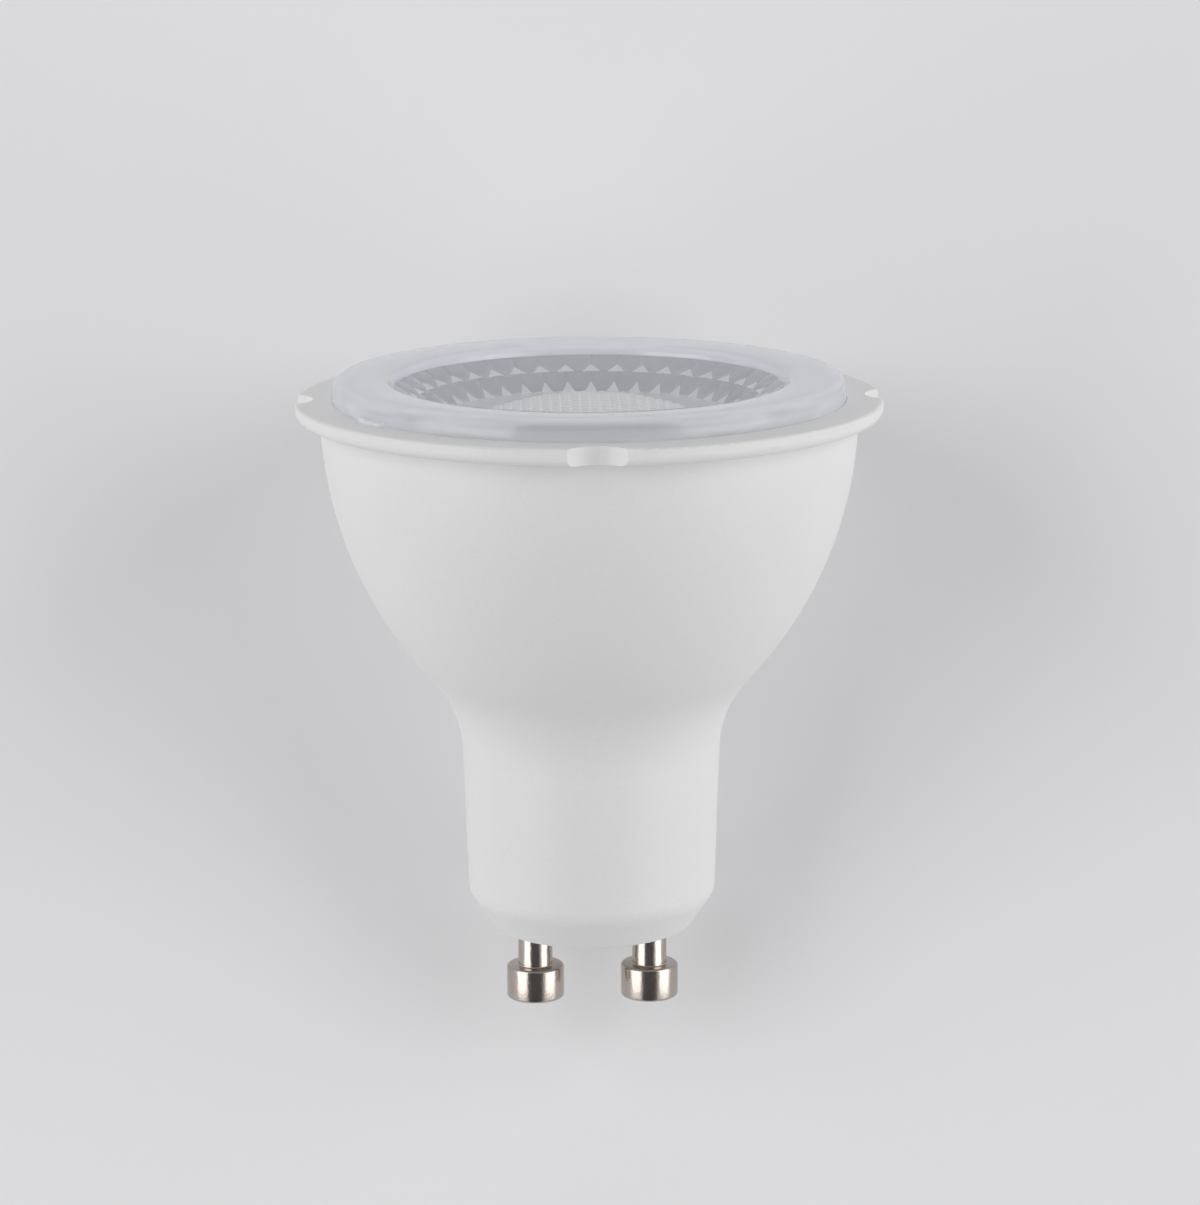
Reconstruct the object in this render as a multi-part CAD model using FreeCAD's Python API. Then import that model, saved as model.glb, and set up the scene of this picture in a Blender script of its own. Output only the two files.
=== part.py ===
import FreeCAD, Part
import math
import os

# Twist-lock lamp, 50 mm across the flange. Millimetres, +Z along the lamp axis towards the lens.
# The origin is on the axis in the plane of the pin tips, and the pins stand along X.

# Contact pins
pin_pitch = 10.0
pin_head_dia = 5.0
pin_head_height = 2.95
pin_head_chamfer = 0.3
pin_neck_dia = 3.0
pin_neck_length = 3.95
pin_collar_dia = 3.8
pin_collar_height = 0.6
pin_tail_dia = 2.2
pin_tail_length = 2.2
pin_bore_depth = 1.6
pin_fit = 0.05

# Outer shell
shell_wall = 1.2
base_floor = 1.6
base_face_dia = 17.2
base_chamfer_height = 2.95
base_edge_round = 2.2
base_face_round = 0.3
barrel_dia = 21.4
barrel_draft = math.radians(1.9)
neck_fillet = 10.2
bell_arc = 34.5
bell_mouth_dia = 45.8
bell_mouth_lean = math.radians(1.15)
body_height = 46.4
mouth_step = 1.1
flange_dia = 50.0
flange_thickness = 1.5
flange_back_round = 0.8
flange_front_round = 0.25
flange_root_round = 0.3
notch_count = 4
notch_arc = 2.8
notch_depth = 1.5

# Lens
lens_seat_depth = 1.0
lens_seat_width = 1.25
lens_fit = 0.1
lens_proud = 1.95
lens_shoulder = 1.05
dish_mouth_dia = 33.2
dish_lip_round = 0.7
dish_lip_land = 0.2
dish_foot_dia = 26.0
dish_depth = 2.95
disc_dia = 17.0
disc_rise = 0.35
disc_crown = 1.4
facet_count = 42
facet_overrun = 0.1
collimator_mouth_dia = 35.0
collimator_foot_dia = 12.0
source_cavity_dia = 9.4
source_cavity_depth = 3.2
source_cavity_crown = 1.0
key_count = 2
key_turn = math.radians(-55.5)
key_width = 3.0
key_reach = 0.6
key_root = 0.6
key_proud = 0.35
key_fit = 0.1

# Heat sink cup
cup_wall = 1.0
cup_floor = 1.2
cup_fit = 0.1
cup_rim_gap = 0.3

# Light source
lens_foot_gap = 0.3
led_board_dia = 26.0
led_board_thickness = 1.5
pad_thickness = 0.3
pad_margin = 0.4
substrate_side = 8.4
substrate_thickness = 0.7
phosphor_dia = 6.6
phosphor_height = 0.35

# Board screws
screw_count = 2
screw_circle_dia = 19.0
screw_shank_dia = 2.0
screw_head_dia = 3.6
screw_head_height = 1.3
screw_recess_depth = 0.7
screw_recess_width = 0.5
screw_recess_length = 2.0
screw_run_out = 0.5
screw_fit = 0.05

# Driver board and its guide channels
driver_thickness = 1.0
driver_offset = 2.6
driver_lift = 2.0
driver_bay = 28.3
driver_top_gap = 2.6
driver_edge_gap = 0.4
hole_fit = 0.1
channel_grip = 0.6
channel_wall = 1.0
channel_height = 15.0
channel_fit = 0.1

# Leads and component legs
mains_lead_dia = 0.8
mains_lead_height = 6.0
mains_lead_bend = 1.7
led_lead_dia = 1.0
led_lead_drop = 2.2
led_lead_spread = 8.0
led_lead_reach = 9.5
led_lead_bend = 3.0
led_lead_stand = 0.6
wire_hole_fit = 0.3
leg_dia = 0.6
leg_bend = 1.0
leg_run_out = 0.4

# Driver components: lifts are up from the board's lower edge, drops are down from its upper edge
seat_gap = 0.1
component_gap = 0.4
edge_inset = 1.0
bulk_cap_lift = 8.5
bulk_cap_leg_pitch = 3.5
bulk_cap_leg_drop = 2.0
bulk_cap_round = 0.5
output_cap_dia = 5.0
output_cap_length = 7.0
output_cap_drop = 2.5
output_cap_leg_pitch = 2.0
output_cap_round = 0.4
film_cap_width = 2.6
film_cap_depth = 5.0
film_cap_height = 7.0
film_cap_lift = 12.5
film_cap_leg_pitch = 5.0
film_cap_round = 0.4
resistor_dia = 2.6
resistor_length = 6.0
resistor_lift = 12.5
resistor_leg_pitch = 9.0
resistor_round = 0.5
choke_dia = 5.0
choke_height = 3.6
choke_flange = 0.7
choke_core_dia = 2.4
choke_leg_pitch = 3.0
choke_fit = 0.1
choke_lift = 3.0
rectifier_size = (4.8, 1.6, 4.0)
rectifier_place = (0.0, 11.0)
rectifier_legs = 2
chip_size = (2.9, 1.2, 1.8)
chip_place = (2.0, 16.5)
chip_legs = 2
diode_size = (2.6, 2.2, 4.3)
diode_place = (-2.0, 16.5)
diode_legs = 1
gull_width = 0.42
gull_length = 0.9
gull_thickness = 0.25
gull_pitch = 1.27
chip_resistor_size = (1.25, 0.55, 2.0)
chip_resistor_start = 3.5
chip_resistor_pitch = 1.6
chip_resistor_lift = 2.6

# Heights and radii that follow from the sizes above
base_z = pin_head_height + pin_neck_length
floor_z = base_z + base_floor
chamfer_z = base_z + base_chamfer_height
flange_front_z = base_z + body_height
flange_back_z = flange_front_z - flange_thickness
seat_z = flange_front_z - lens_seat_depth
lens_top_z = flange_front_z + lens_proud
lip_z = lens_top_z - dish_lip_round
moat_z = lip_z - dish_depth
cup_bottom_z = floor_z + driver_bay
cup_floor_z = cup_bottom_z + cup_floor
pad_top_z = cup_floor_z + pad_thickness
led_board_top_z = pad_top_z + led_board_thickness
collimator_foot_z = led_board_top_z + lens_foot_gap
driver_bottom_z = floor_z + driver_lift
driver_top_z = cup_bottom_z - driver_top_gap
driver_back = driver_offset + driver_thickness

barrel_r = barrel_dia / 2
base_face_r = base_face_dia / 2
mouth_r = bell_mouth_dia / 2
flange_r = flange_dia / 2
bore_r = mouth_r - shell_wall - mouth_step
lens_r = bore_r + lens_seat_width
recess_r = lens_r + lens_fit

# Wires of the two circuits: where they cross the driver board, and the holes they pass
mains_spots = [(side * pin_pitch / 2, driver_bottom_z + mains_lead_height) for side in (-1, 1)]
led_spots = [(side * led_lead_spread / 2, driver_top_z - led_lead_drop) for side in (-1, 1)]
wire_hole_r = led_lead_dia / 2 + wire_hole_fit


def vec(x, y, z):
    return FreeCAD.Vector(x, y, z)


def line(start, end):
    """Straight edge between two (radius, height) points."""
    return Part.LineSegment(vec(start[0], 0, start[1]), vec(end[0], 0, end[1])).toShape()


def arc(centre, radius, start_angle, end_angle):
    """Circular edge about a (radius, height) centre, between two angles from the radial direction."""
    points = []
    for angle in (start_angle, (start_angle + end_angle) / 2, end_angle):
        points.append(vec(centre[0] + radius * math.cos(angle), 0, centre[1] + radius * math.sin(angle)))
    return Part.Arc(*points).toShape()


def rounded(corners):
    """Edges along (radius, height, corner round) points, with a tangent arc at each rounded corner."""
    edges = []
    start = vec(corners[0][0], 0, corners[0][1])
    for before, corner, after in zip(corners, corners[1:], corners[2:]):
        at = vec(corner[0], 0, corner[1])
        if corner[2] == 0:
            edges.append(Part.LineSegment(start, at).toShape())
            start = at
            continue
        into = (at - vec(before[0], 0, before[1])).normalize()
        away = (vec(after[0], 0, after[1]) - at).normalize()
        run, bend, start = tangent_bend(start, at, into, away, corner[2])
        edges += [run, bend]
    edges.append(Part.LineSegment(start, vec(corners[-1][0], 0, corners[-1][1])).toShape())
    return edges


def tangent_bend(start, at, into, away, radius):
    """Straight run up to a corner, the tangent arc round it, and the point where the arc ends."""
    half_turn = into.getAngle(away) / 2
    setback = radius * math.tan(half_turn)
    bend_start = at - into * setback
    bend_end = at + away * setback
    inward = (away - into).normalize()
    middle = at + inward * (radius / math.cos(half_turn) - radius)
    run = Part.LineSegment(start, bend_start).toShape()
    return run, Part.Arc(bend_start, middle, bend_end).toShape(), bend_end


def revolve(edges):
    """Solid of revolution about the lamp axis from the edges of a closed half section."""
    face = Part.Face(Part.Wire(Part.__sortEdges__(edges)))
    return face.revolve(vec(0, 0, 0), vec(0, 0, 1), 360)


def cylinder(radius, bottom, top, x=0.0, y=0.0):
    return Part.makeCylinder(radius, top - bottom, vec(x, y, bottom))


def box(low, high):
    return Part.makeBox(high[0] - low[0], high[1] - low[1], high[2] - low[2], vec(*low))


def turned(shape, angle):
    """Copy of a shape turned about the lamp axis."""
    copy = shape.copy()
    copy.rotate(vec(0, 0, 0), vec(0, 0, 1), math.degrees(angle))
    return copy


def bent_wire(points, diameter, bend):
    """Round wire along straight runs joined by tangent arcs of one radius."""
    corners = [vec(*point) for point in points]
    edges = []
    start = corners[0]
    for before, at, after in zip(corners, corners[1:], corners[2:]):
        into = (at - before).normalize()
        away = (after - at).normalize()
        run, curve, start = tangent_bend(start, at, into, away, bend)
        edges += [run, curve]
    edges.append(Part.LineSegment(start, corners[-1]).toShape())
    section = Part.Wire(Part.makeCircle(diameter / 2, corners[0], corners[1] - corners[0]))
    return Part.Wire(edges).makePipeShell([section], True, False)


def bell_centres():
    """Centres of the bell's arc and of the concave fillet that blends it into the barrel."""
    bell_r = mouth_r - bell_arc * math.cos(bell_mouth_lean)
    bell = (bell_r, flange_back_z + bell_arc * math.sin(bell_mouth_lean))
    slope = math.tan(barrel_draft)
    # The fillet's centre is one fillet radius outside the barrel and outside the bell's circle
    at_axis = barrel_r - slope * chamfer_z + neck_fillet / math.cos(barrel_draft)
    a = 1 + slope ** 2
    b = 2 * (slope * (at_axis - bell[0]) - bell[1])
    c = (at_axis - bell[0]) ** 2 + bell[1] ** 2 - (bell_arc + neck_fillet) ** 2
    height = (-b - math.sqrt(b ** 2 - 4 * a * c)) / (2 * a)
    return bell, (at_axis + slope * height, height)


bell_centre, fillet_centre = bell_centres()
blend_angle = math.atan2(bell_centre[1] - fillet_centre[1], bell_centre[0] - fillet_centre[0])


def barrel_radius(height, inset):
    """Barrel radius at a height, moved inwards by an inset."""
    return barrel_r - inset / math.cos(barrel_draft) + math.tan(barrel_draft) * (height - chamfer_z)


def bell_height(radius, inset):
    """Height at which the bell, moved inwards by an inset, has a given radius."""
    return bell_centre[1] - math.sqrt((bell_arc - inset) ** 2 - (radius - bell_centre[0]) ** 2)


def bell_radius(height, inset):
    return bell_centre[0] + math.sqrt((bell_arc - inset) ** 2 - (height - bell_centre[1]) ** 2)


def bell_edge(start_height, end_height, inset):
    """The bell's arc between two heights, moved inwards by an inset."""
    radius = bell_arc - inset
    angles = [math.asin((height - bell_centre[1]) / radius) for height in (start_height, end_height)]
    return arc(bell_centre, radius, *angles)


def neck_edges(inset, end_height):
    """Concave fillet and bell up to a height, moved inwards by an inset, and the fillet's lower end."""
    radius = neck_fillet + inset
    fillet = arc(fillet_centre, radius, math.pi - barrel_draft, blend_angle)
    bell_start = fillet_centre[1] + radius * math.sin(blend_angle)
    lower_end = (
        fillet_centre[0] - radius * math.cos(barrel_draft),
        fillet_centre[1] + radius * math.sin(barrel_draft),
    )
    return [fillet, bell_edge(bell_start, end_height, inset)], lower_end


def shell_outside():
    """Solid outer form of the body: base, barrel, neck, bell and flange."""
    curves, barrel_top = neck_edges(0, flange_back_z - flange_root_round)
    base = [
        (0, base_z, 0),
        (base_face_r, base_z, base_face_round),
        (barrel_r, chamfer_z, base_edge_round),
        (*barrel_top, 0),
    ]
    root = bell_radius(flange_back_z - flange_root_round, 0)
    flange = [
        (root, flange_back_z - flange_root_round, 0),
        (root + flange_root_round, flange_back_z, 0),
        (flange_r, flange_back_z, flange_back_round),
        (flange_r, flange_front_z, flange_front_round),
        (0, flange_front_z, 0),
    ]
    axis = line((0, flange_front_z), (0, base_z))
    return revolve(rounded(base) + curves + rounded(flange) + [axis])


def shell_inside(inset):
    """Solid form of the hollow, with its floor, moved inwards from the outside by an inset."""
    bore_start = bell_height(bore_r, inset)
    curves, barrel_top = neck_edges(inset, bore_start)
    corner_z = chamfer_z + base_floor
    corner_r = barrel_radius(corner_z, inset)
    floor_r = corner_r - (barrel_r - base_face_r)
    foot = [(0, floor_z), (floor_r, floor_z), (corner_r, corner_z), barrel_top]
    mouth = [(bore_r, bore_start), (bore_r, seat_z), (recess_r, seat_z), (recess_r, flange_front_z)]
    mouth += [(0, flange_front_z), (0, floor_z)]
    straights = [line(*pair) for pair in zip(foot, foot[1:])]
    straights += [line(*pair) for pair in zip(mouth, mouth[1:])]
    return revolve(straights + curves)


def driver_half_width():
    """Half width of the driver board: it fits the barrel where the barrel is narrowest."""
    inner = barrel_radius(driver_bottom_z + base_chamfer_height, shell_wall)
    return math.sqrt(inner ** 2 - (driver_back + channel_fit + channel_wall) ** 2) - driver_edge_gap


driver_half = driver_half_width()

# Components along the board's edges, and the large capacitor in the room that they leave
film_cap_x = driver_half - edge_inset - film_cap_width / 2
resistor_x = edge_inset + resistor_dia / 2 - driver_half
side_width = max(film_cap_width, resistor_dia)
bulk_cap_r = driver_half - edge_inset - side_width - component_gap
output_cap_z = driver_top_z - output_cap_drop
bulk_cap_z = driver_bottom_z + bulk_cap_lift
bulk_cap_top_z = output_cap_z - output_cap_dia / 2 - component_gap
bulk_cap_y = driver_offset - seat_gap - bulk_cap_r
bulk_cap_leg_z = bulk_cap_z - bulk_cap_leg_drop
film_cap_z = driver_bottom_z + film_cap_lift
resistor_z = driver_bottom_z + resistor_lift
choke_z = driver_bottom_z + choke_lift


def guide_channels():
    """Two U-shaped channels that the driver board's edges slide into, closed below as a stop."""
    front = driver_offset - channel_fit
    back = driver_back + channel_fit
    inner = driver_half - channel_grip
    top = floor_z + channel_height
    sunk_z = floor_z - base_floor / 2
    block = box((inner, front - channel_wall, sunk_z), (barrel_dia, back + channel_wall, top))
    slot = box((0, front, driver_bottom_z), (barrel_dia, back, top + channel_wall))
    right = block.cut(slot)
    left = right.mirror(vec(0, 0, 0), vec(1, 0, 0))
    return right.fuse(left).common(shell_inside(shell_wall / 2))


def flange_notch(angle):
    """Round-bottomed notch across the flange's edge, for the retaining ring's tongues."""
    centre = flange_r - notch_depth + notch_arc
    return turned(cylinder(notch_arc, flange_back_z - flange_thickness, lens_top_z, centre), angle)


def lens_key(gap):
    """Small key on the lens's rim, which stops it turning in the shell, grown by a gap for its slot."""
    reach = lens_r + key_reach + gap
    half = key_width / 2 + gap
    top = flange_front_z + key_proud
    return box((lens_r - key_root, -half, seat_z), (reach, half, top))


def keys(gap):
    """All the keys, or their slots, spaced evenly from the first one's turn."""
    first = key_turn - math.pi / 2
    spacing = 2 * math.pi / key_count
    return [turned(lens_key(gap), first + index * spacing) for index in range(key_count)]


def outer_shell():
    """Moulded body with pin holes, notched flange, lens seat with key slots, and board channels."""
    shell = shell_outside().cut(shell_inside(shell_wall)).fuse(guide_channels())
    pin_hole_r = pin_neck_dia / 2 + pin_fit
    cuts = [cylinder(pin_hole_r, base_z - base_floor, floor_z + base_floor, x) for x in pin_places()]
    cuts += [flange_notch(index * 2 * math.pi / notch_count) for index in range(notch_count)]
    return shell.cut(cuts + keys(key_fit)).removeSplitter()


def pin_places():
    return (-pin_pitch / 2, pin_pitch / 2)


def contact_pin(x):
    """Turned pin: wide head, neck through the floor, swaged collar, and a tail bored for its lead."""
    head_r = pin_head_dia / 2
    neck_r = pin_neck_dia / 2
    tail_r = pin_tail_dia / 2
    lead_bore_r = mains_lead_dia / 2 + hole_fit
    collar_z = floor_z + pin_collar_height
    tail_z = collar_z + pin_tail_length
    bore_z = tail_z - pin_bore_depth
    outline = [
        (0, 0),
        (head_r - pin_head_chamfer, 0),
        (head_r, pin_head_chamfer),
        (head_r, pin_head_height - pin_head_chamfer),
        (head_r - pin_head_chamfer, pin_head_height),
        (neck_r, pin_head_height),
        (neck_r, floor_z),
        (pin_collar_dia / 2, floor_z),
        (pin_collar_dia / 2, collar_z),
        (tail_r, collar_z),
        (tail_r, tail_z),
        (lead_bore_r, tail_z),
        (lead_bore_r, bore_z),
        (0, bore_z),
    ]
    pin = revolve([line(*pair) for pair in zip(outline, outline[1:] + outline[:1])])
    pin.translate(vec(x, 0, 0))
    return pin


def facet_ring(radius, height, phase):
    """Corners of one ring of the dish wall, with the middle of each side at the given radius."""
    pitch = 2 * math.pi / facet_count
    reach = radius / math.cos(pitch / 2)
    angles = [(index + phase) * pitch for index in range(facet_count)]
    return [vec(reach * math.cos(angle), reach * math.sin(angle), height) for angle in angles]


def triangle(a, b, c):
    return Part.Face(Part.makePolygon([a, b, c, a]))


def dish_facets():
    """Two rows of flat triangles down the dish wall, closed above and below to a solid."""
    lip_r = dish_mouth_dia / 2
    foot_r = dish_foot_dia / 2
    run_out = facet_overrun * (lip_r - foot_r) / dish_depth
    rings = [
        facet_ring(foot_r, moat_z, 0),
        facet_ring((lip_r + foot_r) / 2, (lip_z + moat_z) / 2, 0.5),
        facet_ring(lip_r + run_out, lip_z + facet_overrun, 0),
    ]
    faces = [Part.Face(Part.makePolygon(ring + ring[:1])) for ring in (rings[0], rings[2])]
    for index in range(facet_count):
        after = (index + 1) % facet_count
        low, mid, top = rings
        faces.append(triangle(low[index], low[after], mid[index]))
        faces.append(triangle(low[after], mid[after], mid[index]))
        faces.append(triangle(mid[index], mid[after], top[after]))
        faces.append(triangle(mid[index], top[after], top[index]))
    return Part.Solid(Part.Shell(faces))


def crowned(radius, edge_z, crown):
    """Arc of a shallow dome, from its edge to the axis."""
    dome_r = (radius ** 2 + crown ** 2) / (2 * crown)
    centre_z = edge_z + crown - dome_r
    return arc((0, centre_z), dome_r, math.atan2(edge_z - centre_z, radius), math.pi / 2)


def lens():
    """Clear lens: flat rim with round edges, faceted dish, crowned disc, collimator cone, source cavity."""
    disc_r = disc_dia / 2
    foot_r = collimator_foot_dia / 2
    cavity_r = source_cavity_dia / 2
    disc_z = moat_z + disc_rise
    cavity_z = collimator_foot_z + source_cavity_depth
    rim_r = dish_mouth_dia / 2 + dish_lip_land
    crest_r = rim_r + dish_lip_round
    shoulder_r = lens_r - lens_shoulder
    dish = [(disc_r, disc_z), (disc_r, moat_z), (dish_foot_dia / 2, moat_z), (dish_mouth_dia / 2, lip_z)]
    dish.append((rim_r, lip_z))
    edges = [line(*pair) for pair in zip(dish, dish[1:])]
    edges.append(arc((crest_r, lip_z), dish_lip_round, math.pi, math.pi / 2))
    edges.append(line((crest_r, lens_top_z), (shoulder_r, lens_top_z)))
    edges.append(arc((shoulder_r, lens_top_z - lens_shoulder), lens_shoulder, math.pi / 2, 0))
    under = [(lens_r, lens_top_z - lens_shoulder), (lens_r, seat_z), (collimator_mouth_dia / 2, seat_z)]
    under += [(foot_r, collimator_foot_z), (cavity_r, collimator_foot_z), (cavity_r, cavity_z)]
    edges += [line(*pair) for pair in zip(under, under[1:])]
    edges.append(crowned(cavity_r, cavity_z, source_cavity_crown))
    edges.append(line((0, cavity_z + source_cavity_crown), (0, disc_z + disc_crown)))
    edges.append(crowned(disc_r, disc_z, disc_crown))
    body = revolve(edges)
    disc = cylinder(disc_r, moat_z, lens_top_z)
    return body.cut(dish_facets().cut(disc)).fuse(keys(0)).removeSplitter()


def cup_half_section():
    """Closed half section of the heat sink cup, which follows the inside of the bell."""
    outer = shell_wall + cup_fit
    inner = outer + cup_wall
    rim_z = seat_z - cup_rim_gap
    outer_r = bore_r - cup_fit
    inner_r = outer_r - cup_wall
    outer_bend = bell_height(outer_r, outer)
    inner_bend = bell_height(inner_r, inner)
    return [
        line((0, cup_bottom_z), (bell_radius(cup_bottom_z, outer), cup_bottom_z)),
        bell_edge(cup_bottom_z, outer_bend, outer),
        line((outer_r, outer_bend), (outer_r, rim_z)),
        line((outer_r, rim_z), (inner_r, rim_z)),
        line((inner_r, rim_z), (inner_r, inner_bend)),
        bell_edge(inner_bend, cup_floor_z, inner),
        line((bell_radius(cup_floor_z, inner), cup_floor_z), (0, cup_floor_z)),
        line((0, cup_floor_z), (0, cup_bottom_z)),
    ]


def board_holes(bottom, top, screw_gap):
    """Screw holes and lead holes through the stack of cup floor, pad and light source board."""
    holes = [cylinder(screw_shank_dia / 2 + screw_gap, bottom, top, *place) for place in screw_places()]
    holes += [cylinder(wire_hole_r, bottom, top, x, led_lead_reach) for x, height in led_spots]
    return holes


def screw_places():
    places = []
    for index in range(screw_count):
        angle = index * 2 * math.pi / screw_count
        places.append((screw_circle_dia / 2 * math.cos(angle), screw_circle_dia / 2 * math.sin(angle)))
    return places


def heat_sink_cup():
    """Drawn aluminium cup in the bell, with tapped holes for the screws and holes for two leads."""
    return revolve(cup_half_section()).cut(board_holes(cup_bottom_z, cup_floor_z, screw_fit))


def thermal_pad():
    """Soft heat-conducting disc between the board and the cup's floor."""
    disc = cylinder(led_board_dia / 2 - pad_margin, cup_floor_z, pad_top_z)
    return disc.cut(board_holes(cup_floor_z, pad_top_z, screw_fit + pad_margin))


def led_board():
    """Round aluminium-core board that carries the light source."""
    disc = cylinder(led_board_dia / 2, pad_top_z, led_board_top_z)
    return disc.cut(board_holes(pad_top_z, led_board_top_z, screw_fit))


def led_substrate():
    """Square ceramic base of the light source, its corners trimmed to clear the lens."""
    half = substrate_side / 2
    top = led_board_top_z + substrate_thickness
    block = box((-half, -half, led_board_top_z), (half, half, top))
    return block.common(cylinder(source_cavity_dia / 2 - lens_foot_gap, led_board_top_z, top))


def led_phosphor():
    """Round pad of cured phosphor on the ceramic base."""
    bottom = led_board_top_z + substrate_thickness
    return cylinder(phosphor_dia / 2, bottom, bottom + phosphor_height)


def board_screw(place):
    """Pan head screw with a cross recess."""
    x, y = place
    head_top = led_board_top_z + screw_head_height
    head = cylinder(screw_head_dia / 2, led_board_top_z, head_top, x, y)
    shank = cylinder(screw_shank_dia / 2, cup_bottom_z - screw_run_out, led_board_top_z, x, y)
    recess_z = head_top - screw_recess_depth
    long_half = screw_recess_length / 2
    short_half = screw_recess_width / 2
    slots = []
    for reach_x, reach_y in ((long_half, short_half), (short_half, long_half)):
        slots.append(box((x - reach_x, y - reach_y, recess_z), (x + reach_x, y + reach_y, head_top)))
    return head.fuse(shank).cut(slots).removeSplitter()


def across(radius, start, end, x, z):
    """Cylinder that runs front to back, square to the driver board."""
    return Part.makeCylinder(radius, end - start, vec(x, start, z), vec(0, 1, 0))


def leg_spots():
    """Places of all component legs on the driver board."""
    spots = [(side * bulk_cap_leg_pitch / 2, bulk_cap_leg_z) for side in (-1, 1)]
    columns = (
        (0, output_cap_z, output_cap_leg_pitch),
        (film_cap_x, film_cap_z, film_cap_leg_pitch),
        (resistor_x, resistor_z, resistor_leg_pitch),
        (0, choke_z, choke_leg_pitch),
    )
    for x, middle, pitch in columns:
        spots += [(x, middle - pitch / 2), (x, middle + pitch / 2)]
    return spots


def driver_board():
    """Driver circuit board, drilled for the component legs and the leads."""
    board = box((-driver_half, driver_offset, driver_bottom_z), (driver_half, driver_back, driver_top_z))
    holes = [(x, z, leg_dia) for x, z in leg_spots()]
    holes += [(x, z, mains_lead_dia) for x, z in mains_spots]
    holes += [(x, z, led_lead_dia) for x, z in led_spots]
    return board.cut([across(d / 2 + hole_fit, driver_offset, driver_back, x, z) for x, z, d in holes])


def round_rims(can, radius):
    """Cylinder with its two rims rounded."""
    return can.makeFillet(radius, [edge for edge in can.Edges if isinstance(edge.Curve, Part.Circle)])


def straight_leg(x, z, start):
    """Straight component leg through the board, from a point before or behind it."""
    end = driver_back + leg_run_out if start < driver_offset else driver_offset - leg_run_out
    return across(leg_dia / 2, min(start, end), max(start, end), x, z)


def bulk_capacitor():
    """Sleeved electrolytic can lying along the board, with two legs bent into it."""
    can = round_rims(cylinder(bulk_cap_r, bulk_cap_z, bulk_cap_top_z, 0, bulk_cap_y), bulk_cap_round)
    legs = []
    for side in (-1, 1):
        x = side * bulk_cap_leg_pitch / 2
        route = [(x, bulk_cap_y, bulk_cap_z + bulk_cap_round), (x, bulk_cap_y, bulk_cap_leg_z)]
        route.append((x, driver_back + leg_run_out, bulk_cap_leg_z))
        legs.append(bent_wire(route, leg_dia, leg_bend))
    return can.fuse(legs).removeSplitter()


def output_capacitor():
    """Small electrolytic can standing square on the board's front."""
    top = driver_offset - seat_gap
    can = across(output_cap_dia / 2, top - output_cap_length, top, 0, output_cap_z)
    can = round_rims(can, output_cap_round)
    legs = []
    for side in (-1, 1):
        legs.append(straight_leg(0, output_cap_z + side * output_cap_leg_pitch / 2, top - output_cap_round))
    return can.fuse(legs).removeSplitter()


def film_capacitor():
    """Box film capacitor on the board's front."""
    top = driver_offset - seat_gap
    low = (film_cap_x - film_cap_width / 2, top - film_cap_depth, film_cap_z - film_cap_height / 2)
    high = (film_cap_x + film_cap_width / 2, top, film_cap_z + film_cap_height / 2)
    body = box(low, high)
    body = body.makeFillet(film_cap_round, body.Edges)
    legs = []
    for side in (-1, 1):
        leg_z = film_cap_z + side * film_cap_leg_pitch / 2
        legs.append(straight_leg(film_cap_x, leg_z, top - film_cap_round))
    return body.fuse(legs).removeSplitter()


def fusible_resistor():
    """Axial resistor along the board, with both legs bent into it."""
    x, y, z = resistor_x, driver_offset - seat_gap - resistor_dia / 2, resistor_z
    body = cylinder(resistor_dia / 2, z - resistor_length / 2, z + resistor_length / 2, x, y)
    body = round_rims(body, resistor_round)
    legs = []
    for side in (-1, 1):
        leg_z = z + side * resistor_leg_pitch / 2
        start = z + side * (resistor_length / 2 - resistor_round)
        route = [(x, y, start), (x, y, leg_z), (x, driver_back + leg_run_out, leg_z)]
        legs.append(bent_wire(route, leg_dia, leg_bend))
    return body.fuse(legs).removeSplitter()


def inductor_core():
    """Ferrite drum on the board's back: two flanges on a core, and its two legs."""
    bottom = driver_back + seat_gap
    top = bottom + choke_height
    drum = across(choke_core_dia / 2, bottom, top, 0, choke_z)
    flanges = [across(choke_dia / 2, bottom, bottom + choke_flange, 0, choke_z)]
    flanges.append(across(choke_dia / 2, top - choke_flange, top, 0, choke_z))
    legs = []
    for side in (-1, 1):
        legs.append(straight_leg(0, choke_z + side * choke_leg_pitch / 2, bottom + choke_flange / 2))
    return drum.fuse(flanges + legs).removeSplitter()


def inductor_winding():
    """Copper winding between the drum's flanges, as one ring."""
    start = driver_back + seat_gap + choke_flange + choke_fit
    end = driver_back + seat_gap + choke_height - choke_flange - choke_fit
    ring = across(choke_dia / 2 - choke_fit, start, end, 0, choke_z)
    return ring.cut(across(choke_core_dia / 2 + choke_fit, start, end, 0, choke_z))


def surface_package(size, place, leg_count):
    """Moulded package flat on the board's back, with legs along its lower and upper edges."""
    wide, deep, tall = size
    x, z = place[0], driver_bottom_z + place[1]
    package = box((x - wide / 2, driver_back, z - tall / 2), (x + wide / 2, driver_back + deep, z + tall / 2))
    legs = []
    for index in range(leg_count):
        leg_x = x + (index - (leg_count - 1) / 2) * gull_pitch
        low = (leg_x - gull_width / 2, driver_back, z - tall / 2 - gull_length)
        high = (leg_x + gull_width / 2, driver_back + gull_thickness, z + tall / 2 + gull_length)
        legs.append(box(low, high))
    return package.fuse(legs).removeSplitter()


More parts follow.
